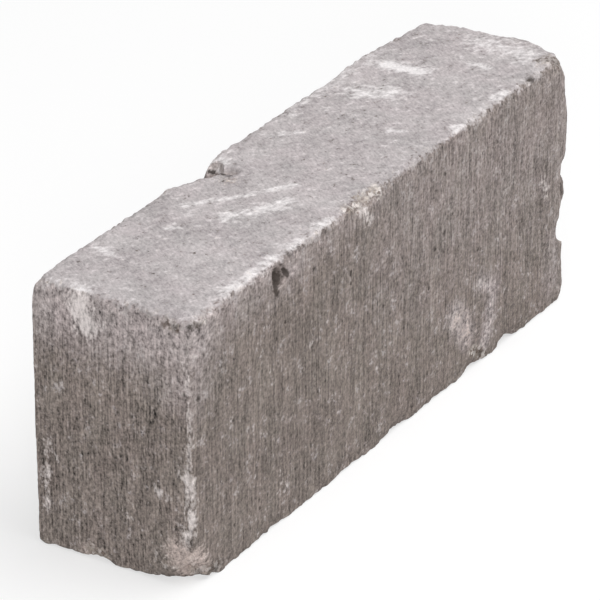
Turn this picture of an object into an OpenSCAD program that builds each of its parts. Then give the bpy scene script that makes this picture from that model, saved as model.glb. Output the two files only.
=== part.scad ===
// Tumbled concrete paving stone: a slim pressed block whose arrises and corners
// were worn round and knocked off in a drum. It stands on its bed, z = 0, with its
// length along X and the face that is walked on at the top.

/* [Stone] */
// Length of the stone
length = 200; // [140:1:300]
// Width of the face that is walked on
width = 50; // [46:1:120]
// Height from the bed to the walked-on face
height = 80; // [50:1:120]

/* [Arris wear] */
// How far the drum has worn in from a sharp arris
arris_wear = 1.8; // [1.6:0.1:6]
// How much further it has worn in at the most worn corner
corner_wear = 2.5; // [0:0.5:6]
// Distance from a corner over which that extra wear fades out
corner_span = 14; // [8:1:24]
// How far the wear swings either way along an arris
wear_swing = 0.5; // [0:0.1:1.4]
// Distance between the swells of the wear
swell_pitch = 24; // [16:1:60]

/* [Spalls] */
// Length along the arris of a spall whose share is 1
spall_span = 26; // [14:1:36]
// How much further than the wear a spall whose share is 1 reaches in
spall_reach = 6; // [0:0.5:7]
// Radius of the largest pop-out, where a pebble has broken out of the arris
popout_r = 6.5; // [2:0.5:8]

/* [Hidden] */

// Half the sharp block, measured from its centre.
half = [length, width, height] / 2;

// The band along every arris that carries the wear, and the pitch of its mesh.
wear_band = arris_wear + corner_wear + wear_swing + spall_reach;
band_cells = 6;
station_pitch = 3.5;

// Profile of the worn arris as the power of its curve: 2 is a round, 1 a flat bevel.
round_power = 2;
spall_power = 1.15;
// Depth of spall, in that reach, at which the whole profile is a bevel.
bevel_share = 0.5;

// Shares of the wear at the corners: near and far, each with front and back, each with bottom and top.
corner_shares = [[[0.4, 0.4], [0, 0.6]], [[0.5, 0.4], [0.5, 1]]];

// Directions of the swells, as shares of one wave to the pitch, and the turn between them.
swell_direction_shares = [[1, 0.35, 0.5], [-0.6, 1, 0.4], [0.45, -0.5, 1], [1.9, 0.8, -1.3]];
swell_turn = 80;

// Spalls: centre in half lengths, widths and heights, then shares of the span and of the reach.
spall_shares = [
    [-0.62, 1, 1, 3.4, 0.25],        // back top arris, near half
    [-0.26, 1, 1, 1.1, 0.8],         // bruise on the back top arris
    [0.1, 1, 1, 2.6, 0.2],           // back top arris, middle
    [0.48, 1, 1, 0.8, 0.25],         // back top arris, far half
    [0.9, 1, 1, 1.3, 0.2],           // back top arris by the far corner
    [1, 0.7, 1, 1.2, 0.12],          // far top arris by the back corner
    [1, -1, 1, 1, 0.38],             // far front top corner
    [0.43, -1, 1, 0.5, 0.15],        // front top arris
    [-0.13, -1, 1, 0.8, 0.4],        // front top arris, gravel showing
    [-0.92, -1, 1, 0.5, 0.25],       // front top arris by the near corner
    [-1, -0.75, 1, 0.5, 0.25],       // end top arris
    [1, -1, 0.04, 0.65, 0.45],       // far front upright arris, middle
    [1, -1, -0.27, 0.9, 0.35],       // far front upright arris, above the notch
    [-1, -1, -1, 1.35, 1],           // near front bottom corner
    [-1, -0.35, -1, 1, 0.3],         // near bottom arris, front half
    [-1, 0.5, -1, 2.4, 0.2],         // near bottom arris, back half
    [-1, 0.2, -1, 0.5, 0.4],         // near bottom arris, middle
    [-0.62, -1, -1, 1, 0.18],        // front bottom arris, near half
    [-0.22, -1, -1, 1, 0.2],         // front bottom arris, near half
    [0.03, -1, -1, 0.9, 0.3],        // front bottom arris, middle
    [0.24, -1, -1, 0.7, 0.25],       // front bottom arris, middle
    [0.47, -1, -1, 0.8, 0.35],       // front bottom arris, far half
    [0.66, -1, -1, 0.6, 0.5],        // front bottom arris, far half
    [0.85, -1, -1, 0.4, 0.2],        // front bottom arris by the far corner
    [0.3, 1, -1, 0.9, 0.4],          // back bottom arris
    [-0.55, 1, -1, 1.4, 0.25],       // back bottom arris, near half
    [1, 1, 0.3, 0.8, 0.4],           // far back upright arris
    [1, 0.1, -1, 0.7, 0.4]           // far bottom arris
];

// Pop-outs: centre in half lengths, widths and heights, then a share of the radius.
popout_shares = [
    [-0.22, 0.92, 0.97, 1],          // back top arris, at the end of the bruise
    [-0.19, 0.6, 1.02, 0.45],        // beside that one, in the top
    [-0.575, -1.02, 0.87, 0.55],     // front, below the top arris
    [0.76, -1.02, 1.01, 0.35],       // front top arris by the far corner
    [1, -1, -0.4, 0.8]               // notch in the far front upright arris
];

function total(v) = len(v) == 0 ? 0 : [for (i = v) 1] * v;

// Swells of the wear at a point of the sharp block, from -1 to 1.
function swell(p) =
    let (waves = len(swell_direction_shares))
    total([for (i = [0 : waves - 1])
        sin(360 * (p * swell_direction_shares[i]) / swell_pitch + i * swell_turn)]) / waves;

// A bump that is 1 at its centre and fades to 0 at the given distance.
function bump(distance, span) = distance >= span ? 0 : pow(1 - pow(distance / span, 2), 2);

function at_shares(shares) = [for (i = [0 : 2]) half[i] * shares[i]];
function nearest_corner(p) = [for (i = [0 : 2]) p[i] < 0 ? -half[i] : half[i]];
function corner_share(p) = corner_shares[p.x < 0 ? 0 : 1][p.y < 0 ? 0 : 1][p.z < 0 ? 0 : 1];

// Depth of one spall at a point, as a share of the reach.
function spall_depth(p, spall) = spall[4] * bump(norm(p - at_shares(spall)), spall[3] * spall_span / 2);
function deepest_spall(p) = max([for (s = spall_shares) spall_depth(p, s)]);

// How far the wear reaches in from the arris at a point, and the power of its profile.
function reach(p) = arris_wear + wear_swing * swell(p) + spall_reach * deepest_spall(p)
    + corner_wear * corner_share(p) * bump(norm(p - nearest_corner(p)), corner_span);
function power(p) = round_power - (round_power - spall_power) * min(1, deepest_spall(p) / bevel_share);

// Where the wear leaves a point of the sharp block.
function worn(p) =
    let (r = reach(p),
         core = [for (i = [0 : 2]) max(r - half[i], min(half[i] - r, p[i]))],
         out = p - core,
         n = power(p),
         size = pow(total([for (d = out) pow(abs(d), n)]), 1 / n))
    core + out * (r / size) + [0, 0, half.z];

// Mesh lines along one side of the block: close together in the bands at its ends.
function middle_cells(h) = max(1, round(2 * (h - wear_band) / station_pitch));
function stations(h) =
    let (mid = h - wear_band, n = middle_cells(h))
    concat([for (i = [0 : band_cells - 1]) wear_band * i / band_cells - h],
           [for (i = [0 : n]) 2 * mid * i / n - mid],
           [for (i = [1 : band_cells]) mid + wear_band * i / band_cells]);

// One face of the block: axes a and b run along it, and the third axis out of it to the side given.
function face_point(a, b, side, u, v) = [for (i = [0 : 2]) i == a ? u : i == b ? v : side * half[i]];
function face_points(a, b, side) = concat(
    [for (u = stations(half[a])) for (v = stations(half[b])) worn(face_point(a, b, side, u, v))],
    [worn(face_point(a, b, side, 0, 0))]);

function turned(side, triangle) = side > 0 ? triangle : [triangle[0], triangle[2], triangle[1]];

// Triangles of that face: the band cell by cell, and the flat middle as a fan about its centre.
function face_triangles(a, b, side, first) =
    let (na = middle_cells(half[a]), nb = middle_cells(half[b]),
         lines = nb + 2 * band_cells + 1,
         last_a = na + 2 * band_cells - 1, last_b = nb + 2 * band_cells - 1,
         a0 = band_cells, a1 = band_cells + na, b0 = band_cells, b1 = band_cells + nb,
         at = function (i, j) first + i * lines + j,
         centre = at(last_a + 2, 0),
         rim = concat([for (i = [a0 : a1 - 1]) at(i, b0)], [for (j = [b0 : b1 - 1]) at(a1, j)],
                      [for (i = [a1 : -1 : a0 + 1]) at(i, b1)], [for (j = [b1 : -1 : b0 + 1]) at(a0, j)]))
    concat(
        [for (i = [0 : last_a]) for (j = [0 : last_b]) if (i < a0 || i >= a1 || j < b0 || j >= b1)
            for (cross = [[at(i + 1, j + 1), at(i + 1, j)], [at(i, j + 1), at(i + 1, j + 1)]])
                turned(side, [at(i, j), cross[0], cross[1]])],
        [for (i = [0 : len(rim) - 1]) turned(side, [centre, rim[(i + 1) % len(rim)], rim[i]])]);

// Each face as its two axes along and the side of the block that it is on.
block_faces = [[0, 1, 1], [0, 1, -1], [1, 2, 1], [1, 2, -1], [2, 0, 1], [2, 0, -1]];
block_points = [for (f = block_faces) face_points(f[0], f[1], f[2])];
function first_point(n) = n == 0 ? 0 : first_point(n - 1) + len(block_points[n - 1]);

// The pressed block after the drum, before any pebble broke out of it.
module worn_block() {
    polyhedron(
        points = [for (points = block_points) each points],
        faces = [for (n = [0 : len(block_faces) - 1])
            each face_triangles(block_faces[n][0], block_faces[n][1], block_faces[n][2], first_point(n))]);
}

// Hollows that pebbles left when they broke out of the arrises.
module popouts() {
    for (p = popout_shares)
        translate(at_shares(p) + [0, 0, half.z]) sphere(r = p[3] * popout_r, $fn = 48);
}

module paving_stone() {
    color("#8b837d")
        difference() {
            worn_block();
            popouts();
        }
}

paving_stone();
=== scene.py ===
import math
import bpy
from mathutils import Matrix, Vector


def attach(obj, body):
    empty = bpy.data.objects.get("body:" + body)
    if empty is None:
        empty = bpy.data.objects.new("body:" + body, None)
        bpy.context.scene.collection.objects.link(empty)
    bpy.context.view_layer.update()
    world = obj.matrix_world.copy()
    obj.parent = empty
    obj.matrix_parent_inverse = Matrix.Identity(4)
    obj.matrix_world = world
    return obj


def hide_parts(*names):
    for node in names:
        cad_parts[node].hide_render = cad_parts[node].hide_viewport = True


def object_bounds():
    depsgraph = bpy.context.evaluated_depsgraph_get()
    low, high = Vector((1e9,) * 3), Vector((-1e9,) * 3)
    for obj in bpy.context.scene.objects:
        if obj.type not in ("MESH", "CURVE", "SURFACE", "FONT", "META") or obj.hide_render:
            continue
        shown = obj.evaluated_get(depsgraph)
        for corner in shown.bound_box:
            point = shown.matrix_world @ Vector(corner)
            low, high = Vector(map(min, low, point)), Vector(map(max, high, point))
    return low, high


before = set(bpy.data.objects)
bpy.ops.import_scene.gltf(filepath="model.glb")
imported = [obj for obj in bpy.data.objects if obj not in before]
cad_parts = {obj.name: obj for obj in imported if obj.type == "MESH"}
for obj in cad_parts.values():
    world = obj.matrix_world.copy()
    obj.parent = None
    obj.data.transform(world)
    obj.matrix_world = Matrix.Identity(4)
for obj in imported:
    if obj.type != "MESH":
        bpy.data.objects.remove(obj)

from types import SimpleNamespace

import bmesh
import bpy
import numpy as np
from mathutils import Vector

cad_low, cad_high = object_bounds()

# A tumbled paving stone on a plain pale floor, seen as in its photograph.

# Lengths of the stone are in millimetres, measured from the middle of its box.
MM = 0.001
HALF = np.array(cad_high - cad_low) / 2 / MM
MIDDLE = np.array(cad_high + cad_low) / 2 / MM
NODE = "paving_stone"

# Camera, in metres, with its focal length in pixels of the photograph. The lamps face what it is aimed at.
PHOTO_SIDE = 600
FOCAL = 4380.0
CAMERA_AT = Vector((-0.92334, -0.57061, 0.59513))
AIM_AT = Vector((-0.0003, 0.0044, 0.0349))

# Studio, in metres: a softbox above the stone, one further away that fills the shade, and a dim room.
SOFTBOX_SIDE = 1.0
SOFTBOX_AT = Vector((0.20, -0.45, 1.25))
SOFTBOX_WATTS = 13.2
FILL_AT = Vector((-2.20, -1.25, 0.90))
FILL_WATTS = 27.5
ROOM_LIGHT = 0.36
# Floor: what it gives back to the stone, and its shade and glow to the eye, which show white together.
FLOOR_SIDE = 6.0
FLOOR_BOUNCE = 0.45
FLOOR_SHADE = 0.42
FLOOR_GLOW = 0.58


# Random fields

def smooth(share):
    """0 at 0 and 1 at 1, level at both."""
    return share * share * (3 - 2 * share)


def ease(value, start, end):
    """0 up to the start, 1 from the end on, and smooth between them."""
    return smooth(np.clip((value - start) / (end - start), 0, 1))


class Noise:
    """A smooth random field from -1 to 1, the same on every run."""

    CELLS = 64

    def __init__(self, seed):
        self.table = np.random.default_rng(seed).uniform(-1, 1, (self.CELLS,) * 3)

    def __call__(self, points, pitch):
        at = points / pitch
        cell = np.floor(at).astype(int)
        part = smooth(at - cell)
        total = np.zeros(len(points))
        for corner in np.ndindex(2, 2, 2):
            weight = np.prod(np.where(corner, part, 1 - part), axis=1)
            total += weight * self.table[tuple(((cell + corner) % self.CELLS).T)]
        return total

    def rough(self, points, pitch, octaves=3):
        """Noise on noise, each at half the pitch and half the height of the last."""
        shares = 0.5 ** np.arange(octaves)
        return sum(share * self(points, pitch * share) for share in shares) / shares.sum()


class Scatter:
    """Points strewn one to a cell, the same on every run."""

    CELLS = 32

    def __init__(self, seed):
        random = np.random.default_rng(seed)
        self.places = random.uniform(0, 1, (self.CELLS,) * 3 + (3,))
        self.numbers = random.uniform(0, 1, (self.CELLS,) * 3)

    def __call__(self, points, pitch):
        """Distance to the nearest strewn point, and that point's own number from 0 to 1."""
        at = points / pitch
        cell = np.floor(at).astype(int)
        nearest = np.full(len(points), np.inf)
        number = np.zeros(len(points))
        for step in np.ndindex(3, 3, 3):
            there = cell + np.array(step) - 1
            index = tuple((there % self.CELLS).T)
            distance = np.linalg.norm(at - there - self.places[index], axis=1)
            closer = distance < nearest
            nearest[closer] = distance[closer]
            number[closer] = self.numbers[index][closer]
        return nearest * pitch, number


noise = Noise(seed=5)
nick_points = Scatter(seed=8)
pit_points = Scatter(seed=21)
pebble_points = Scatter(seed=34)


# Marks on the stone: each a line of places in half lengths, widths and heights, a radius and a strength

# Lines that marks of more than one kind follow.
FAR_CORNER = [(0.9, -0.9, 0.99), (0.96, -0.97, 0.93)]
BRUISE = [(-0.25, 0.5, 0.97), (-0.22, 0.7, 0.9)]
BACK_BREAK = [(0.3, 1, -1), (0.36, 1, -0.97)]
LIME_CURVE = [(0.5, -1, -0.32), (0.585, -1, -0.46), (0.56, -1, -0.62), (0.534, -1, -0.85)]
SANDY_SPOT = [(0.36, -1, -0.45), (0.43, -1, -0.68)]

# Pale scuffs.
SCUFFS = [
    # on the walked-on face
    ([(-0.44, 0.55, 1), (-0.31, 0.15, 1), (-0.17, -0.2, 1)], 1.3, 0.85),
    ([(-0.44, 0.02, 1), (-0.37, -0.18, 1), (-0.28, -0.33, 1)], 3.2, 0.75),
    ([(-0.77, 0.78, 1), (-0.78, 0.58, 1)], 2.2, 0.8),
    ([(-0.58, 0.39, 1), (-0.56, 0.29, 1)], 1.2, 0.8),
    ([(0.636, 0.58, 1), (0.645, 0.16, 1)], 3.0, 1.4),
    ([(0.43, 0.48, 1), (0.48, 0.15, 1)], 4.2, 0.9),
    ([(0.774, -0.24, 1), (0.771, -0.42, 1)], 1.5, 1.0),
    ([(0.25, -0.32, 1), (0.27, -0.45, 1)], 1.4, 0.9),
    ([(0.92, -0.05, 1), (0.92, -0.46, 1), (0.9, -0.65, 1)], 6.0, 0.7),
    ([(0.054, 0.72, 1), (0.118, 0.47, 1)], 1.6, 0.6),
    ([(0.7, 0.9, 1), (0.2, 0.9, 1)], 3.0, 0.5),
    ([(-0.148, 0.95, 0.94), (-0.156, 0.82, 0.96)], 3.2, 1.15),
    # along the front top arris
    ([(-0.82, -0.93, 1), (-0.72, -0.94, 1)], 2.2, 0.8),
    ([(-0.70, -0.94, 1), (-0.58, -0.93, 1)], 2.4, 0.8),
    ([(-0.5, -0.92, 1), (-0.46, -0.94, 1)], 2.2, 0.85),
    ([(-0.36, -0.94, 1), (-0.3, -0.98, 1)], 2.4, 0.9),
    ([(0.6, -0.9, 1), (0.65, -0.92, 1)], 2.2, 0.75),
    ([(0.36, -0.95, 1), (0.4, -0.97, 1)], 2.2, 0.9),
    # on the near end
    ([(-1, 0.38, 0.92), (-1, 0.35, 0.84), (-1, 0.31, 0.76)], 4.2, 1.45),
    ([(-1, -0.5, -0.26), (-1, -0.57, -0.34), (-1, -0.72, -0.35)], 1.1, 0.9),
    ([(-1, -0.14, -0.55), (-1, -0.22, -0.59)], 1.2, 0.8),
    ([(-1, 0.86, -0.2), (-1, 0.84, -0.47), (-1, 0.86, -0.69)], 1.3, 0.85),
    ([(-1, 0.79, -0.21), (-1, 0.7, -0.31)], 0.9, 0.8),
    # down the near front upright arris
    ([(-1, -0.92, 0.68), (-1, -0.96, 0.24), (-1, -0.94, -0.14)], 1.1, 0.85),
    ([(-1, -0.92, -0.14), (-1, -0.98, -0.22), (-1, -0.98, -0.52), (-1, -0.88, -0.7)], 2.4, 1.1),
    # on the long side
    (LIME_CURVE, 2.6, 0.55),
    (SANDY_SPOT, 4.0, 0.4),
    ([(-0.68, -1, 0.48), (-0.62, -1, 0.21)], 1.0, 0.8),
    ([(-0.45, -1, 0.165), (-0.415, -1, 0.185)], 1.0, 0.7),
    ([(-0.57, -1, -0.6), (-0.555, -1, -0.75)], 2.0, 0.6),
    ([(-0.155, -1, 0.91), (-0.115, -1, 0.8)], 2.1, 1.05),
    ([(0.86, -1, 0.1), (0.88, -1, -0.02)], 2.4, 0.8),
    # on the back and the far end
    ([(0.2, 1, 0.36), (0.27, 1, 0.1)], 1.2, 0.8),
    ([(-0.62, 1, -0.15), (-0.56, 1, -0.42)], 1.5, 0.7),
    ([(0.7, 1, -0.5), (0.73, 1, -0.64)], 2.4, 0.7),
    ([(-0.3, 1, -0.62), (-0.2, 1, -0.7)], 1.0, 0.7),
    ([(1, 0.4, 0.34), (1, 0.28, 0.05)], 1.3, 0.8),
    ([(1, -0.3, -0.4), (1, -0.42, -0.5)], 2.2, 0.6),
]
# Lime that has bloomed on the sides, and painted light that makes them paler towards the top and towards
# the far end of the long side.
BLOOM_AND_LIGHT = [
    # The bands along the top arrises of each face, here and below, are bloom and painted light from above.
    ([(-1, -0.95, 0.98), (-1, 0.95, 0.98)], 16, 1.3),
    ([(-1, -0.6, 0.8), (-1, -0.95, 0.55)], 11, 0.7),
    ([(-1, -1, 0.95), (-0.5, -1, 0.98)], 10, 0.7),
    ([(-0.5, -1, 0.98), (0.2, -1, 0.98)], 9, 0.5),
    ([(-0.52, -1, 0.85), (-0.47, -1, 0.85)], 3, 0.9),
    # Paler towards the far end of the long side: bloom and painted light.
    ([(0.2, -1, 0.75), (0.95, -1, 0.5)], 36, 0.45),
    (LIME_CURVE[:3], 3.2, 1.1),
    (LIME_CURVE[2:], 3.2, 1.2),
    (SANDY_SPOT, 4.5, 1.2),
    ([(0.93, -1, -0.45), (0.93, -1, -0.8)], 6, 0.6),
    ([(1, -0.9, 0.9), (1, 0.9, 0.9)], 15, 0.6),
    ([(-0.8, 1, 0.95), (0.7, 1, 0.95)], 11, 0.5),
    ([(-0.2, 0.9, 0.92), (-0.16, 0.7, 0.95)], 7, 1.3),
]
# Gravel that shows where the skin is gone.
GRAVEL = [
    ([(-0.22, -0.98, 1), (-0.07, -0.98, 1)], 3.0, 1.0),
    ([(-1, -0.66, 0.95), (-1, -0.8, 0.93)], 1.7, 0.8),
    ([(-0.98, -1, 0.96), (-0.92, -1, 0.93)], 1.6, 0.65),
    (FAR_CORNER, 3.4, 0.8),
    ([(-1, -0.75, -0.85), (-0.96, -1, -0.9)], 5.0, 0.45),
    ([(-0.935, -0.87, -0.93), (-0.9, -0.97, -0.95)], 3.2, 0.95),
    ([(-1, 0.3, -0.95), (-1, 0.15, -0.95)], 2.6, 1.1),
    ([(0.46, -1, -0.85), (0.5, -0.99, -0.915), (0.53, -0.98, -0.967)], 2.1, 1.1),
    (BRUISE, 3.6, 0.7),
    (BACK_BREAK, 4.0, 0.9),
    ([(1, 1, 0.24), (1, 1, 0.36)], 3.0, 0.7),
]
# Breaks that are still clean.
FRESH = [
    ([(-1, -0.83, -0.75), (-0.98, -0.9, -0.8), (-0.94, -0.86, -0.94)], 4.4, 1.3),
    ([(-0.995, 0.34, -0.955), (-0.995, 0.18, -0.96)], 2.8, 1.2),
    ([(0.375, -1, -0.5), (0.44, -1, -0.7)], 4.2, 0.58),
    (FAR_CORNER, 4.0, 0.6),
    (BRUISE, 3.0, 0.6),
    (BACK_BREAK, 3.5, 0.8),
    ([(1, 0.2, -1), (1, 0, -0.98)], 3.0, 0.7),
]
# Dark specks on the long side: places in half lengths and heights, and how far down each one runs.
SPECKS = [
    (-0.215, 0.517), (-0.192, 0.181), (0.213, 0.43), (0.237, 0.218), (0.254, 0.145), (0.291, 0.285),
    (0.482, -0.041),
]
SPECK_DROP = 0.015
SPECK_RADIUS = 0.66
SPECK_STRENGTH = 1.3
# Dirt, with painted shade in the hollows, and the specks.
DIRT_AND_SHADE_MARKS = [
    # dirt and painted shade in the hollow under the front top arris, and beside it
    ([(-0.588, -0.95, 0.91), (-0.562, -0.92, 0.84), (-0.575, -0.93, 0.81)], 2.3, 1.0),
    ([(-0.58, -0.95, 0.81), (-0.59, -0.98, 0.78), (-0.588, -1, 0.75)], 1.0, 1.1),
    ([(-0.542, -0.96, 0.88), (-0.535, -0.99, 0.82)], 0.9, 1.0),
    ([(-0.53, -0.99, 0.97), (-0.47, -0.99, 0.97)], 1.8, 0.62),
    ([(-0.405, -1, 0.75), (-0.405, -1, 0.735)], 0.8, 0.9),
    # at the near front top corner
    ([(-1, -0.64, 0.95), (-1, -0.8, 0.93)], 1.3, 0.55),
    ([(-1, -0.98, 0.95), (-0.96, -1, 0.93)], 1.7, 0.68),
    # at the far front top corner
    ([(0.772, -0.95, 0.99), (0.784, -0.985, 0.972)], 1.1, 0.8),
    ([(0.9, -0.85, 1), (0.96, -0.97, 0.93)], 3.6, 0.6),
    # along the front bottom arris
    ([(0.47, -1, -0.87), (0.52, -1, -0.95)], 1.6, 0.42),
    ([(-0.93, -0.9, -0.94), (-0.9, -0.97, -0.95)], 3.0, 0.65),
    # dirt and painted shade in the bruise on the back top arris, and in the far front upright arris
    ([(-0.158, 0.96, 0.9), (-0.154, 0.9, 0.9)], 0.8, 1.0),
    ([(-0.222, 0.63, 0.985), (-0.222, 0.55, 0.99)], 1.3, 1.0),
    ([(0.972, -0.99, -0.05), (0.976, -0.985, -0.12)], 1.0, 1.0),
    # the specks
    *(([(x, -1, z), (x, -1, z - SPECK_DROP)], SPECK_RADIUS, SPECK_STRENGTH) for x, z in SPECKS),
]
# How many times its radius from its line a mark has faded out.
MARK_FADE = 1.8


def near_line(points, line):
    """Distance from each point to a line through the given places."""
    places = np.array(line) * HALF
    nearest = np.full(len(points), np.inf)
    for start, end in zip(places[:-1], places[1:]):
        along = end - start
        share = np.clip((points - start) @ along / (along @ along), 0, 1)
        nearest = np.minimum(nearest, np.linalg.norm(points - start - share[:, None] * along, axis=1))
    return nearest


def mark_strength(points, marks):
    """The strongest of a list of marks at each point, fading out from its line."""
    strength = np.zeros(len(points))
    for line, radius, most in marks:
        fade = 1 - ease(near_line(points, line), 0, MARK_FADE * radius)
        strength = np.maximum(strength, most * fade)
    return strength


# Shape of the stone

# Its mesh: how near points of the solid count as one, the pitch of the first fine mesh, and the most
# triangles that are kept.
WELD = 0.001
VOXEL = 0.45
TRIANGLES = 196_000
# How much the upright, the top and the bottom arrises have crumbled, and the distances from the top or the
# bottom to which its own share counts wholly and ends.
UPRIGHT_SHARE, TOP_SHARE, BOTTOM_SHARE = 0.12, 0.8, 0.6
LEVEL_REACH = (3.0, 9.0)
# Crumbs: the distances from an arris to which they are whole and end, their pitch, that of the cracks
# between them, and their height.
CRUMB_REACH = (1.5, 6.0)
CRUMB_PITCH = 2.2
CRACK_PITCH = 1.7 * CRUMB_PITCH
CRUMB_HEIGHT = 0.6
# Nicks along the arrises: how far apart, from which point's number on, their radius, their depth as a share
# of it, and the distances from an arris to which they are whole and end.
NICK_PITCH = 5.5
NICK_FROM = 0.4
NICK_RADIUS = (0.5, 2.0)
NICK_DEPTH_SHARE = 0.35
NICK_REACH = (1.5, 4.0)
# Pits in the faces, likewise.
PIT_PITCH = 8.0
PIT_FROM = 0.78
PIT_RADIUS = (0.4, 0.8)
PIT_DEPTH_SHARE = 0.8
# Breaks: the depths under the block's faces where they start and are whole, and their roughness.
BREAK_DEPTH = (0.7, 2.2)
BREAK_PITCH = 4.0
BREAK_OCTAVES = 4
BREAK_HEIGHT = 1.2
# Pebbles that stand out of a break: how far apart, how wide and how high.
PEBBLE_PITCH = 2.8
PEBBLE_RADIUS = (0.7, 1.6)
PEBBLE_HEIGHT = 0.8
# Bits of gravel that stand out where the skin is gone.
GRAVEL_PITCH = 2.6
GRAVEL_HEIGHT = 0.55
# Fine unevenness of the faces, the lines that the mould dragged down the sides, and how far up or down a
# surface may look to have them wholly and at all.
GRAIN_PITCH = 1.1
GRAIN_HEIGHT = 0.06
DRAG_PITCH = np.array([1.2, 1.2, 16.0])
DRAG_HEIGHT = 0.06
DRAG_TILT = (0.2, 0.6)
# Places in the noise, apart from each other, that the roughness of breaks and of gravel is read from.
BREAK_SHIFT, GRAVEL_SHIFT = 17, 29
# How nicks, pits and pebbles are bent out of round: the height and the pitch of the push, and the places in
# the noise that its three parts are read from.
NICK_BEND = (0.8, 1.8, (0, 31, 67))
PIT_BEND = (0.3, 0.9, (5, 43, 71))
PEBBLE_BEND = (0.5, 1.4, (11, 53, 89))
# Sound arrises, all but the top ones: how much of their round is filled, and the depths under a face to
# which that is whole and ends.
FILL_SHARE = 0.55
FILL_REACH = (0.9, 2.2)
# Soft knocks: a place in half lengths, widths and heights, a radius, and a depth, below 0 for a swelling.
KNOCKS = [
    # on the far front upright arris and the far top arris
    ((1, -1, -0.47), 4.5, 0.8),
    ((1, -1, -0.65), 7.0, 0.5),
    ((1, -1, 0.72), 9.0, 0.8),
    ((1, -0.3, 1), 9.0, -0.8),
    # on the back top arris
    ((-0.16, 0.9, 1), 5.0, 1.0),
    ((-0.9, 1, 1), 12.0, 0.5),
    ((-0.45, 1, 1), 10.0, 0.4),
    ((0.38, 1, 1), 14.0, 0.5),
    ((0.85, 1, 1), 20.0, 0.7),
    ((-1, 1, 1), 8.0, 0.5),
    # round the hollow under the front top arris
    ((-0.605, -1, 0.95), 1.8, 0.8),
    ((-0.598, -1, 0.79), 1.8, 0.9),
    ((-0.54, -1, 0.86), 1.6, 0.7),
    # at the near bottom corners
    ((-1, -0.68, -1), 9.0, -0.7),
    ((-0.9, -1, -1), 8.0, -1.4),
    ((-1, 1, -1), 6.0, -0.45),
]


def arris_distance(points):
    """How far a point of the surface lies from the nearest arris of the sharp block."""
    return np.sort(HALF - np.abs(points), axis=1)[:, 1]


def crumbled_share(points):
    """How much the nearest arris has crumbled: the upright ones least, the top ones most."""
    level = 1 - ease(HALF[2] - np.abs(points[:, 2]), *LEVEL_REACH)
    flat = np.where(points[:, 2] > 0, TOP_SHARE, BOTTOM_SHARE)
    return UPRIGHT_SHARE + level * (flat - UPRIGHT_SHARE)


def broken_share(points):
    """How much of a point's surface is broken: where it lies deep under every face of the block."""
    return ease((HALF - np.abs(points)).min(axis=1), *BREAK_DEPTH)


def bent(points, height, pitch, shifts):
    """The points pushed about by noise, so that what is round among them comes out uneven."""
    return points + height * np.stack([noise(points + shift, pitch) for shift in shifts], axis=1)


def scoops(points, field, pitch, first, radii, depth_share):
    """Depth of the round hollows that a scatter of points leaves."""
    distance, number = field(points, pitch)
    size = np.clip((number - first) / (1 - first), 0, 1)
    radius = radii[0] + (radii[1] - radii[0]) * size ** 2
    hollow = np.clip(1 - (distance / radius) ** 2, 0, 1)
    return np.where(number > first, hollow * radius * depth_share, 0)


def nick_depth(points):
    """Depth of the nicks along the arrises."""
    near = crumbled_share(points) * (1 - ease(arris_distance(points), *NICK_REACH))
    places = bent(points, *NICK_BEND)
    return near * scoops(places, nick_points, NICK_PITCH, NICK_FROM, NICK_RADIUS, NICK_DEPTH_SHARE)


def pit_depth(points):
    """Depth of the small pits."""
    places = bent(points, *PIT_BEND)
    return scoops(places, pit_points, PIT_PITCH, PIT_FROM, PIT_RADIUS, PIT_DEPTH_SHARE)


def knock_depth(points):
    """Depth that the soft knocks take off, less what the swellings add."""
    depth = np.zeros(len(points))
    for place, radius, most in KNOCKS:
        away = np.linalg.norm(points - np.array(place) * HALF, axis=1) / radius
        depth += most * np.clip(1 - away ** 2, 0, 1) ** 2
    return depth


def pebbles(points):
    """How high the pebbles rise at each point, as a share of their height, and the nearest one's number."""
    distance, number = pebble_points(bent(points, *PEBBLE_BEND), PEBBLE_PITCH)
    radius = PEBBLE_RADIUS[0] + (PEBBLE_RADIUS[1] - PEBBLE_RADIUS[0]) * number
    return np.sqrt(np.clip(1 - (distance / radius) ** 2, 0, 1)), number


def filled(points):
    """The points with the rounds of the upright and the bottom arrises filled, as those stay sharp."""
    gaps = HALF - np.abs(points)
    near = 1 - ease(gaps, *FILL_REACH)
    near[:, 2] *= points[:, 2] < 0
    beside = np.stack([np.delete(near, axis, axis=1).max(axis=1) for axis in range(3)], axis=1)
    return points + np.sign(points) * FILL_SHARE * near * beside * gaps


def relief(points, normals):
    """Height of the broken, gritty surface over the smooth one."""
    near = crumbled_share(points) * (1 - ease(arris_distance(points), *CRUMB_REACH))
    side = 1 - ease(np.abs(normals[:, 2]), *DRAG_TILT)
    crumbs = noise.rough(points, CRUMB_PITCH) - np.abs(noise(points, CRACK_PITCH))
    rubble = noise.rough(points + BREAK_SHIFT, BREAK_PITCH, BREAK_OCTAVES)
    gravel = noise.rough(points + GRAVEL_SHIFT, GRAVEL_PITCH)
    return (near * CRUMB_HEIGHT * crumbs
            + broken_share(points) * BREAK_HEIGHT * rubble
            + broken_share(points) * PEBBLE_HEIGHT * pebbles(points)[0]
            + mark_strength(points, GRAVEL) * GRAVEL_HEIGHT * gravel
            + GRAIN_HEIGHT * noise(points, GRAIN_PITCH)
            + side * DRAG_HEIGHT * noise(points, DRAG_PITCH)
            - nick_depth(points) - pit_depth(points) - knock_depth(points))


def add_object(name, data):
    """A new object of the scene."""
    made = bpy.data.objects.new(name, data)
    bpy.context.scene.collection.objects.link(made)
    return made


def mesh_of(name, shape):
    """A mesh with the shape that was drawn, which is then freed."""
    mesh = bpy.data.meshes.new(name)
    shape.to_mesh(mesh)
    shape.free()
    return mesh


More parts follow.
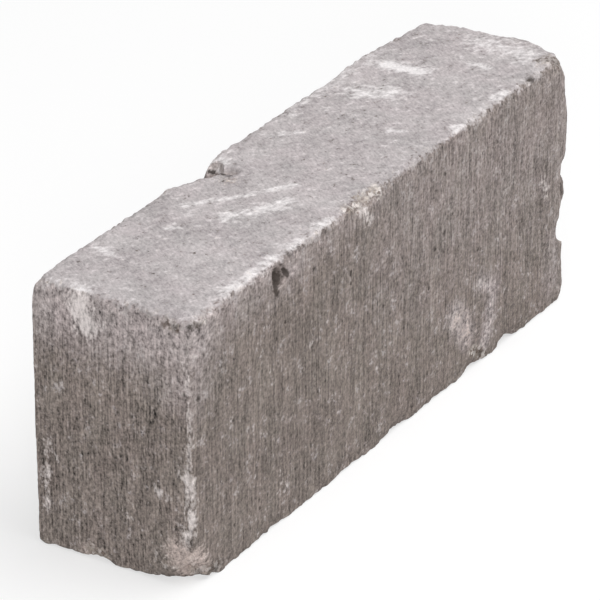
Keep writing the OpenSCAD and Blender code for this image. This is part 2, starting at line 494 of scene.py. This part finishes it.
def mesh_arrays(mesh):
    """The points and the normals of a mesh, the points in millimetres from the stone's middle."""
    points = np.empty(len(mesh.vertices) * 3)
    normals = np.empty(len(mesh.vertices) * 3)
    mesh.vertices.foreach_get("co", points)
    mesh.vertices.foreach_get("normal", normals)
    return points.reshape(-1, 3) / MM - MIDDLE, normals.reshape(-1, 3)


def with_modifier(piece, kind, **settings):
    """Adds a modifier to a piece and bakes its result into the piece's mesh."""
    modifier = piece.modifiers.new(kind.lower(), kind)
    for name, value in settings.items():
        setattr(modifier, name, value)
    graph = bpy.context.evaluated_depsgraph_get()
    made = bpy.data.meshes.new_from_object(piece.evaluated_get(graph))
    piece.modifiers.clear()
    old, piece.data = piece.data, made
    bpy.data.meshes.remove(old)


def make_stone():
    """The stone as a fine mesh: the solid's own shape with the relief of its worn and broken surface."""
    shape = bmesh.new()
    shape.from_mesh(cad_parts[NODE].data)
    bmesh.ops.remove_doubles(shape, verts=shape.verts, dist=WELD * MM)
    stone = add_object("stone", mesh_of("stone", shape))
    with_modifier(stone, "REMESH", mode="VOXEL", voxel_size=VOXEL * MM)
    points, normals = mesh_arrays(stone.data)
    points = filled(points) + relief(points, normals)[:, None] * normals
    points = np.clip(points, -HALF, HALF)
    stone.data.vertices.foreach_set("co", ((points + MIDDLE) * MM).ravel())
    stone.data.update()
    stone.data.calc_loop_triangles()
    share = TRIANGLES / len(stone.data.loop_triangles)
    if share < 1:
        with_modifier(stone, "DECIMATE", ratio=share)
    stone.data.shade_smooth()
    return stone


# Layers of the stone's colours, which tell the material where the marks, the wear and the faces are

# Each layer and the values that its channels hold, in their order.
LAYERS = {
    "marks": ("scuff", "gravel", "soot", "bloom"),
    "wear": ("arris", "hollow", "broken", "square"),
    "faces": ("top", "rim", "end", "fresh"),
    "pebbles": ("pebble", "tint"),
}
# Distances from an arris to which its wear is whole and ends.
ARRIS_REACH = (0.6, 4.5)
# Distances in from the top arris, below 0 down the sides, between which their finish turns into the top's.
RIM_REACH = (-4.0, 3.0)
# How squarely a surface faces upwards, along X, or along X or Y, where it starts to count as the top, as an
# end or as one that shows the mould's lines, and where it counts wholly.
TOP_FACING = (0.45, 0.8)
END_FACING = (0.3, 0.7)
SQUARE_FACING = (0.8, 0.95)


def paint_layers(stone):
    """Keeps the values of the layers as colours of the mesh."""
    points, normals = mesh_arrays(stone.data)
    gaps = HALF - np.abs(points)
    over_arris = gaps[:, :2].min(axis=1) - (HALF[2] - points[:, 2])
    pebble, tint = pebbles(points)
    values = {
        "scuff": mark_strength(points, SCUFFS),
        "gravel": mark_strength(points, GRAVEL),
        "soot": mark_strength(points, DIRT_AND_SHADE_MARKS),
        "bloom": mark_strength(points, BLOOM_AND_LIGHT),
        "arris": 1 - ease(arris_distance(points), *ARRIS_REACH),
        "hollow": nick_depth(points) + pit_depth(points),
        "broken": broken_share(points),
        "square": ease(np.abs(normals[:, :2]).max(axis=1), *SQUARE_FACING),
        "top": ease(normals[:, 2], *TOP_FACING),
        "rim": ease(over_arris, *RIM_REACH),
        "end": ease(np.abs(normals[:, 0]), *END_FACING),
        "fresh": mark_strength(points, FRESH),
        "pebble": pebble,
        "tint": tint,
    }
    for name, held in LAYERS.items():
        colours = np.tile(np.array([0, 0, 0, 1], np.float32), (len(points), 1))
        for channel, value in enumerate(held):
            colours[:, channel] = values[value]
        layer = stone.data.attributes.new(name, "FLOAT_COLOR", "POINT")
        layer.data.foreach_set("color", colours.ravel())


# Material

class Nodes:
    """Short calls for the nodes of a material."""

    FIELD_MEAN = 0.5
    # Sockets of the Mix node that hold colours: its two inputs and its result.
    MIX_FIRST, MIX_SECOND, MIX_RESULT = 6, 7, 2

    def __init__(self, tree):
        self.tree = tree
        tree.nodes.clear()

    def add(self, kind, inputs=None, **settings):
        """A new node, with its inputs linked to sockets or set to values."""
        node = self.tree.nodes.new(kind)
        for name, value in settings.items():
            setattr(node, name, value)
        for name, value in (inputs or {}).items():
            if isinstance(value, bpy.types.NodeSocket):
                self.tree.links.new(value, node.inputs[name])
            else:
                node.inputs[name].default_value = value
        return node

    def math(self, operation, first, second):
        inputs = {0: first, 1: second}
        return self.add("ShaderNodeMath", inputs, operation=operation).outputs[0]

    def vector(self, operation, first, second):
        inputs = {0: first, 1: second}
        return self.add("ShaderNodeVectorMath", inputs, operation=operation).outputs[0]

    def ramp(self, value, start, end, low=0.0, high=1.0):
        """Low up to the start, high from the end on, and straight between them."""
        inputs = {"Value": value, "From Min": start, "From Max": end, "To Min": low, "To Max": high}
        return self.add("ShaderNodeMapRange", inputs).outputs[0]

    def between(self, share, low, high):
        """Low where the share is 0 and high where it is 1."""
        return self.ramp(share, 0.0, 1.0, low, high)

    def blend(self, share, first, second, kind="MIX"):
        """The first colour with a share of the second over it."""
        inputs = {0: share, self.MIX_FIRST: first, self.MIX_SECOND: second}
        node = self.add("ShaderNodeMix", inputs, data_type="RGBA", blend_type=kind)
        return node.outputs[self.MIX_RESULT]

    def shaded(self, colour, factor):
        """A colour made darker or paler by a factor."""
        inputs = {0: colour, "Scale": factor}
        return self.add("ShaderNodeVectorMath", inputs, operation="SCALE").outputs[0]

    def sum(self, fields, weights, base, share=1.0):
        """A base value, plus a share of each weighted field's swing about its mean."""
        total = base
        for name, weight in weights.items():
            swing = self.math("SUBTRACT", getattr(fields, name), self.FIELD_MEAN)
            swing = self.math("MULTIPLY", swing, weight)
            total = self.math("ADD", total, self.math("MULTIPLY", swing, share))
        return total

    def channels(self, colour):
        return self.add("ShaderNodeSeparateColor", {0: colour}).outputs

    def layer(self, name):
        """The four values that a layer of the mesh's colours holds."""
        stored = self.add("ShaderNodeAttribute", attribute_name=name).outputs
        return *self.channels(stored["Color"]), stored["Alpha"]

    def stretched(self, source, pitch):
        """Places measured in pitches along X, Y and Z."""
        scale = [1 / (length * MM) for length in pitch]
        return self.add("ShaderNodeMapping", {"Vector": source, "Scale": scale}).outputs[0]

    def warped(self, places, pitch, height):
        """Places pushed about by a random field of the given pitch and height."""
        field = self.add("ShaderNodeTexNoise", {"Vector": self.stretched(places, pitch), "Scale": 1.0})
        push = self.vector("SUBTRACT", field.outputs["Color"], (self.FIELD_MEAN,) * 3)
        return self.vector("ADD", places, self.shaded(push, height * MM))

    def noise(self, places, detail, roughness):
        inputs = {"Vector": places, "Scale": 1.0, "Detail": detail, "Roughness": roughness}
        return self.add("ShaderNodeTexNoise", inputs).outputs["Fac"]

    def cells(self, places):
        """Distance to the middle of the cell that a place lies in, and that cell's random colour."""
        found = self.add("ShaderNodeTexVoronoi", {"Vector": places, "Scale": 1.0}).outputs
        return found["Distance"], found["Color"]


# Colours of the concrete, its marks and the gravel in it.
SIDE_COLOUR = (0.255, 0.215, 0.193, 1)
# Lime bloom, and painted light on the upper sides.
BLOOM_AND_LIGHT_COLOUR = (0.440, 0.383, 0.376, 1)
# The top is paler than the sides partly for its own worn face and partly as painted light from above.
TOP_COLOUR = (0.452, 0.415, 0.418, 1)
BREAK_COLOUR = (0.37, 0.308, 0.280, 1)
FRESH_COLOUR = (0.62, 0.515, 0.475, 1)
SIDE_SCUFF = (0.90, 0.825, 0.805, 1)
TOP_SCUFF = (0.84, 0.805, 0.805, 1)
# Dirt, and painted shade in pores, nicks, pits and hollows.
DIRT_AND_SHADE_COLOUR = (0.045, 0.035, 0.030, 1)
GRAVEL_DARK = (0.15, 0.110, 0.086, 1)
GRAVEL_SAND = (0.37, 0.320, 0.275, 1)
GRAVEL_PALE = (0.72, 0.66, 0.625, 1)
# Casts that the colour of the concrete drifts between.
ROSE = (1.008, 0.996, 1.0, 1)
MOSS = (0.992, 1.003, 0.998, 1)

# Random fields: their pitches along X, Y and Z, their detail and their roughness.
FIELDS = {
    "grain": ((0.6, 0.5, 0.55), 4, 0.6),
    "speckle": ((1.1, 0.9, 0.9), 2, 0.55),
    "streak": ((0.95, 0.78, 1.6), 2, 0.6),
    "drag": ((0.75, 0.6, 13), 2, 0.6),
    "mottle": ((1.4, 1.15, 1.25), 2, 0.6),
    "patch": ((3.4, 3.0, 3.8), 3, 0.6),
    "cloud": ((15, 15, 20), 3, 0.55),
    "hue": ((9, 9, 14), 2, 0.5),
}
# Those that run along the scrapes of the walked-on face, and the turn of the scrapes from X towards Y.
SCRAPED_FIELDS = {
    "scrape": ((3.2, 1.7, 1.7), 3, 0.6),
    "dapple": ((0.76, 2.1, 1.0), 2, 0.6),
}
SCRAPE_TURN = math.radians(38)
# Distances under the top from which arrises are worn pale, and at which they are so wholly.
UPPER_REACH = (22, 3)
# Strengths of bloom and painted light between which the surface turns coarse.
COARSE_BLOOM_AND_LIGHT = (0.4, 1.0)
# Weights of the fields in the grit of a break.
GRIT = {"speckle": 1.8, "grain": 1.4, "patch": 1.2}


def surface(nodes):
    """All that the material is mixed from: its places, the layers of the mesh and the random fields."""
    skin = SimpleNamespace(places=nodes.add("ShaderNodeTexCoord").outputs["Object"])
    turn = {"Vector": skin.places, "Rotation": (0, 0, SCRAPE_TURN)}
    scraped = nodes.add("ShaderNodeMapping", turn).outputs[0]
    for layer, held in LAYERS.items():
        vars(skin).update(zip(held, nodes.layer(layer)))
    for source, fields in ((skin.places, FIELDS), (scraped, SCRAPED_FIELDS)):
        for name, (pitch, detail, roughness) in fields.items():
            setattr(skin, name, nodes.noise(nodes.stretched(source, pitch), detail, roughness))
    skin.smear = nodes.blend(skin.top, skin.streak, skin.scrape)
    skin.grit = nodes.sum(skin, GRIT, 1.0)

    # How near the top a place lies, and how much of the mould's lines it has kept.
    height = nodes.add("ShaderNodeSeparateXYZ", {0: skin.places}).outputs["Z"]
    skin.upper = nodes.ramp(height, *(cad_high.z - below * MM for below in UPPER_REACH))
    skin.lined = nodes.math("MULTIPLY", skin.square, nodes.math("SUBTRACT", 1.0, skin.broken))
    unlined = nodes.math("SUBTRACT", 1.0, skin.lined)
    skin.coarse = nodes.math("MAXIMUM", nodes.ramp(skin.bloom, *COARSE_BLOOM_AND_LIGHT), unlined)
    return skin


# From here on, names that end in GRAIN, EDGE or BUMPS are weights of the fields, and those that end in RAMP
# are two values to ramp between, and what comes of them where that isn't 0 and 1.

# Sides: where bloom and painted light show, the mould's lines, the grain, and the strength of both on the
# ends and where the surface is coarse.
BLOOM_AND_LIGHT_EDGE = {"patch": 0.8, "mottle": 0.8}
BLOOM_AND_LIGHT_RAMP = (0.0, 1.1)
LINE_GRAIN = {"streak": 1.7, "drag": 1.5}
SIDE_GRAIN = {"grain": 1.5, "speckle": 0.8}
# On the ends the grain is made stronger as painted shade of the fine relief, which the light there barely
# rakes.
END_STRENGTH = 1.25
COARSE_STRENGTH = 0.6
COARSE_GRAIN = {"mottle": 2.4}
BROAD_GRAIN = {"patch": 0.7, "cloud": 0.5}
# Top: its flecks and grain, and where it turns into the sides.
FLECK_RAMP = (0.54, 0.78, 0.98, 1.35)
TOP_GRAIN = {"dapple": 0.9, "grain": 0.8, "patch": 0.65, "cloud": 0.7}
RIM_EDGE = {"speckle": 1.4, "patch": 2.0, "mottle": 1.0}
RIM_RAMP = (0.3, 0.7)
# Where one cast of the concrete turns into the other.
HUE_RAMP = (0.35, 0.65)


def ground(nodes, skin):
    """Colour of the sides, with their bloom and painted light and the mould's lines, and of the smoother
    top, paler partly for its worn face and partly with painted light from above.
    """
    # Bloom and painted light from above make the sides paler.
    bloom_and_light_share = nodes.ramp(nodes.sum(skin, BLOOM_AND_LIGHT_EDGE, skin.bloom), *BLOOM_AND_LIGHT_RAMP)
    lines = nodes.sum(skin, SIDE_GRAIN, nodes.sum(skin, LINE_GRAIN, 0.0, skin.lined))
    # Stronger on the ends: painted shade of the fine relief.
    lines = nodes.math("MULTIPLY", lines, nodes.between(skin.end, 1.0, END_STRENGTH))
    lines = nodes.math("MULTIPLY", lines, nodes.between(skin.coarse, 1.0, COARSE_STRENGTH))
    swing = nodes.sum(skin, BROAD_GRAIN, nodes.sum(skin, COARSE_GRAIN, lines, skin.coarse))
    side = nodes.shaded(nodes.blend(bloom_and_light_share, SIDE_COLOUR, BLOOM_AND_LIGHT_COLOUR), nodes.math("ADD", swing, 1.0))
    # The top's paler colour is partly its worn face and partly painted light from above.
    top = nodes.shaded(TOP_COLOUR[:3], nodes.sum(skin, TOP_GRAIN, nodes.ramp(skin.scrape, *FLECK_RAMP)))
    colour = nodes.blend(nodes.ramp(nodes.sum(skin, RIM_EDGE, skin.rim), *RIM_RAMP), side, top)
    cast = nodes.blend(nodes.ramp(skin.hue, *HUE_RAMP), MOSS, ROSE)
    return nodes.blend(1.0, colour, cast, "MULTIPLY")


# Pores: their pitch, their uneven edge, and the cells' numbers from which they show and are whole.
PORE_PITCH = (4.2, 4.2, 5.0)
PORE_EDGE = {"grain": 0.25}
PORE_RAMP = (0.08, 0.16, 1.0, 0.0)
PORE_NUMBER_RAMP = (0.4, 0.9)


def pores(nodes, skin):
    """1 in the small pores of the surface and 0 beside them."""
    distance, colour = nodes.cells(nodes.stretched(skin.places, PORE_PITCH))
    pore = nodes.ramp(nodes.sum(skin, PORE_EDGE, distance), *PORE_RAMP)
    return nodes.math("MULTIPLY", pore, nodes.ramp(nodes.channels(colour)["Red"], *PORE_NUMBER_RAMP))


# How dark pores are on the sides and on the top, and nicks and pits for each millimetre of their depth:
# painted shade in them, partly dirt.
SIDE_PORE_DARKNESS, TOP_PORE_DARKNESS = 0.8, 0.15
HOLLOW_DARKNESS = 0.45
# How much of a break its colour covers, how strongly its pebbles are coloured, and their numbers from dark
# to pale.
BREAK_RAMP = (0.35, 0.65, 0.3, 0.9)
PEBBLE_STRENGTH = 0.45
PEBBLE_RAMP = (0.2, 0.8)


def with_hollows(nodes, skin, colour, pore):
    """The colour with rough breaks and their pebbles, and with painted shade and dirt in pores, nicks and
    pits.
    """
    rough = nodes.math("MULTIPLY", skin.broken, nodes.ramp(skin.patch, *BREAK_RAMP))
    colour = nodes.blend(rough, colour, nodes.shaded(BREAK_COLOUR[:3], skin.grit))
    stony = nodes.math("MULTIPLY", nodes.math("MULTIPLY", skin.broken, skin.pebble), PEBBLE_STRENGTH)
    pebble = nodes.blend(nodes.ramp(skin.tint, *PEBBLE_RAMP), GRAVEL_DARK, GRAVEL_PALE)
    colour = nodes.blend(stony, colour, pebble)
    # Painted shade, partly dirt, in pores, nicks and pits.
    dark = nodes.math("MULTIPLY", pore, nodes.between(skin.top, SIDE_PORE_DARKNESS, TOP_PORE_DARKNESS))
    dark = nodes.math("MAXIMUM", dark, nodes.math("MULTIPLY", skin.hollow, HOLLOW_DARKNESS))
    return nodes.blend(dark, colour, DIRT_AND_SHADE_COLOUR)


# Scuffs: how pale the upper arrises are worn, the scuffs' broken edge, how much more of them shows on the
# top, and the chalk in them.
WORN_RAMP = (0.4, 0.65, 0.05, 0.32)
SCUFF_EDGE = {"smear": 1.8, "mottle": 1.2, "patch": 1.6}
TOP_SCUFF_EXTRA = 0.25
SCUFF_RAMP = (0.5, 1.4, 0.0, 0.85)
CHALK_GRAIN = {"streak": 0.5, "grain": 0.4, "patch": 0.4}


def with_scuffs(nodes, skin, colour):
    """The colour with pale scuffs, broken up along the scrapes and the streaks, and pale worn arrises."""
    worn = nodes.math("MULTIPLY", skin.arris, skin.upper)
    worn = nodes.math("MULTIPLY", worn, nodes.ramp(skin.cloud, *WORN_RAMP))
    pale = nodes.sum(skin, SCUFF_EDGE, nodes.math("MAXIMUM", skin.scuff, worn))
    pale = nodes.math("ADD", pale, nodes.math("MULTIPLY", skin.top, TOP_SCUFF_EXTRA))
    chalk = nodes.shaded(nodes.blend(skin.top, SIDE_SCUFF, TOP_SCUFF), nodes.sum(skin, CHALK_GRAIN, 1.0))
    return nodes.blend(nodes.ramp(pale, *SCUFF_RAMP), colour, chalk)


# Fresh breaks, and the dirt and painted shade in hollows.
FRESH_EDGE = {"speckle": 1.0, "patch": 1.2, "mottle": 0.8}
FRESH_RAMP = (0.3, 1.0, 0.0, 0.85)
DIRT_AND_SHADE_EDGE = {"speckle": 1.2, "patch": 1.2}
DIRT_AND_SHADE_RAMP = (0.35, 0.85, 0.0, 0.9)
# Gravel: the pitch and height of the push that makes its bits uneven, their pitch, the numbers from which
# they are sandy and pale, their painted shade from the middle out, and how much of them shows along the
# arrises.
BIT_WARP = ((0.9, 0.9, 0.9), 1.6)
BIT_PITCH = (1.5, 1.3, 1.4)
SAND_RAMP = (0.15, 0.35)
PALE_RAMP = (0.5, 0.75)
BIT_RAMP = (0.2, 0.7, 1.12, 0.75)
BIT_GRAIN = {"grain": 1.0, "speckle": 0.9}
ARRIS_GRAVEL = 0.3
GRAVEL_EDGE = {"speckle": 1.4, "patch": 1.6}
GRAVEL_RAMP = (0.35, 0.9, 0.0, 0.8)


def gravel_colour(nodes, skin):
    """Dark, sandy and pale bits of gravel, each with a paler middle and painted shade towards its edge."""
    distance, colour = nodes.cells(nodes.stretched(nodes.warped(skin.places, *BIT_WARP), BIT_PITCH))
    number = nodes.channels(colour)["Green"]
    bits = nodes.blend(nodes.ramp(number, *SAND_RAMP), GRAVEL_DARK, GRAVEL_SAND)
    bits = nodes.blend(nodes.ramp(number, *PALE_RAMP), bits, GRAVEL_PALE)
    # Painted shade that makes each bit look rounded.
    return nodes.shaded(bits, nodes.sum(skin, BIT_GRAIN, nodes.ramp(distance, *BIT_RAMP)))


def with_breaks(nodes, skin, colour):
    """The colour with fresh breaks, the gravel that shows in them and along the arrises, and dirt and
    painted shade.
    """
    raw = nodes.ramp(nodes.sum(skin, FRESH_EDGE, skin.fresh), *FRESH_RAMP)
    colour = nodes.blend(raw, colour, nodes.shaded(FRESH_COLOUR[:3], skin.grit))
    bare = nodes.math("MAXIMUM", skin.gravel, nodes.math("MULTIPLY", skin.arris, ARRIS_GRAVEL))
    bare = nodes.ramp(nodes.sum(skin, GRAVEL_EDGE, bare), *GRAVEL_RAMP)
    colour = nodes.blend(bare, colour, gravel_colour(nodes, skin))
    # Dirt, and painted shade in the hollows.
    dirt_and_shade_share = nodes.ramp(nodes.sum(skin, DIRT_AND_SHADE_EDGE, skin.soot), *DIRT_AND_SHADE_RAMP)
    return nodes.blend(dirt_and_shade_share, colour, DIRT_AND_SHADE_COLOUR)


# The finest relief: its height and strength, what makes it on the sides, in breaks and on the top, and how
# deep pores are on the sides and on the top.
BUMP_HEIGHT = 0.4
BUMP_STRENGTH = 0.6
LINE_BUMPS = {"streak": 1.0}
SIDE_BUMPS = {"grain": 0.5, "speckle": 1.0}
BREAK_BUMPS = {"mottle": 2.0, "patch": 2.5}
TOP_BUMPS = {"dapple": 1.0}
SIDE_PORE_DEPTH, TOP_PORE_DEPTH = 0.8, 0.2


def bumps(nodes, skin, pore):
    """The normal of the surface with its finest relief."""
    side = nodes.sum(skin, SIDE_BUMPS, nodes.sum(skin, LINE_BUMPS, 0.0, skin.lined))
    side = nodes.sum(skin, BREAK_BUMPS, side, nodes.math("MAXIMUM", skin.broken, skin.fresh))
    side = nodes.math("MULTIPLY", side, nodes.between(skin.top, 1.0, 0.0))
    height = nodes.sum(skin, TOP_BUMPS, side, skin.top)
    depth = nodes.math("MULTIPLY", pore, nodes.between(skin.top, SIDE_PORE_DEPTH, TOP_PORE_DEPTH))
    height = nodes.math("SUBTRACT", height, depth)
    inputs = {"Strength": BUMP_STRENGTH, "Distance": BUMP_HEIGHT * MM, "Height": height}
    return nodes.add("ShaderNodeBump", inputs).outputs[0]


# How dull the surface is, by its grain, and how much it shines.
ROUGHNESS_RAMP = (0.3, 0.7, 0.82, 0.96)
SHINE = 0.25


def concrete():
    """Tumbled concrete: the pressed ground, then its hollows, scuffs and breaks over it."""
    material = bpy.data.materials.new("tumbled_concrete")
    material.use_nodes = True
    nodes = Nodes(material.node_tree)
    skin = surface(nodes)
    pore = pores(nodes, skin)
    colour = with_hollows(nodes, skin, ground(nodes, skin), pore)
    colour = with_breaks(nodes, skin, with_scuffs(nodes, skin, colour))
    shader = nodes.add("ShaderNodeBsdfPrincipled", {
        "Base Color": colour,
        "Roughness": nodes.ramp(skin.grain, *ROUGHNESS_RAMP),
        "Specular IOR Level": SHINE,
        "Normal": bumps(nodes, skin, pore)})
    nodes.add("ShaderNodeOutputMaterial", {"Surface": shader.outputs[0]})
    return material


# Studio

def seen(nodes):
    """1 for a ray that shows the background: straight to the camera, off a gloss or through glass."""
    path = nodes.add("ShaderNodeLightPath").outputs
    mirrored = nodes.math("MAXIMUM", path["Is Glossy Ray"], path["Is Transmission Ray"])
    return nodes.math("MAXIMUM", path["Is Camera Ray"], mirrored)


def grey(level):
    return (level, level, level, 1)


def make_room():
    """A dim room whose walls show white."""
    world = bpy.data.worlds.new("room")
    bpy.context.scene.world = world
    world.use_nodes = True
    nodes = Nodes(world.node_tree)
    strength = nodes.between(seen(nodes), ROOM_LIGHT, 1.0)
    light = nodes.add("ShaderNodeBackground", {"Color": grey(1), "Strength": strength})
    nodes.add("ShaderNodeOutputWorld", {"Surface": light.outputs[0]})


def make_floor():
    """A plain pale floor that shows white and keeps the shadow."""
    material = bpy.data.materials.new("floor")
    material.use_nodes = True
    nodes = Nodes(material.node_tree)
    shown = nodes.add("ShaderNodeAddShader", {
        0: nodes.add("ShaderNodeBsdfDiffuse", {"Color": grey(FLOOR_SHADE)}).outputs[0],
        1: nodes.add("ShaderNodeEmission", {"Color": grey(1), "Strength": FLOOR_GLOW}).outputs[0]})
    bounce = nodes.add("ShaderNodeBsdfDiffuse", {"Color": grey(FLOOR_BOUNCE)})
    either = nodes.add("ShaderNodeMixShader", {0: seen(nodes), 1: bounce.outputs[0], 2: shown.outputs[0]})
    nodes.add("ShaderNodeOutputMaterial", {"Surface": either.outputs[0]})

    shape = bmesh.new()
    bmesh.ops.create_grid(shape, x_segments=1, y_segments=1, size=FLOOR_SIDE / 2)
    floor = add_object("floor", mesh_of("floor", shape))
    floor.data.materials.append(material)
    floor.location.z = cad_low.z


def aim(thing, place):
    """Puts a lamp or the camera in its place and turns it to the stone."""
    thing.location = place
    thing.rotation_euler = (AIM_AT - place).to_track_quat("-Z", "Y").to_euler()


def make_softbox(name, place, watts):
    """A square lamp that faces the stone."""
    lamp = bpy.data.lights.new(name, "AREA")
    lamp.size = SOFTBOX_SIDE
    lamp.energy = watts
    aim(add_object(name, lamp), place)


def make_camera():
    """The camera that shows the stone as the photograph does."""
    data = bpy.data.cameras.new("camera")
    data.lens = data.sensor_width * FOCAL / PHOTO_SIDE
    camera = add_object("camera", data)
    aim(camera, CAMERA_AT)
    bpy.context.scene.camera = camera


bpy.context.scene.view_settings.view_transform = "Standard"
make_camera()
make_room()
make_floor()
make_softbox("softbox", SOFTBOX_AT, SOFTBOX_WATTS)
make_softbox("fill", FILL_AT, FILL_WATTS)

stone = make_stone()
paint_layers(stone)
stone.data.materials.clear()
stone.data.materials.append(concrete())
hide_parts(NODE)
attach(stone, "root")
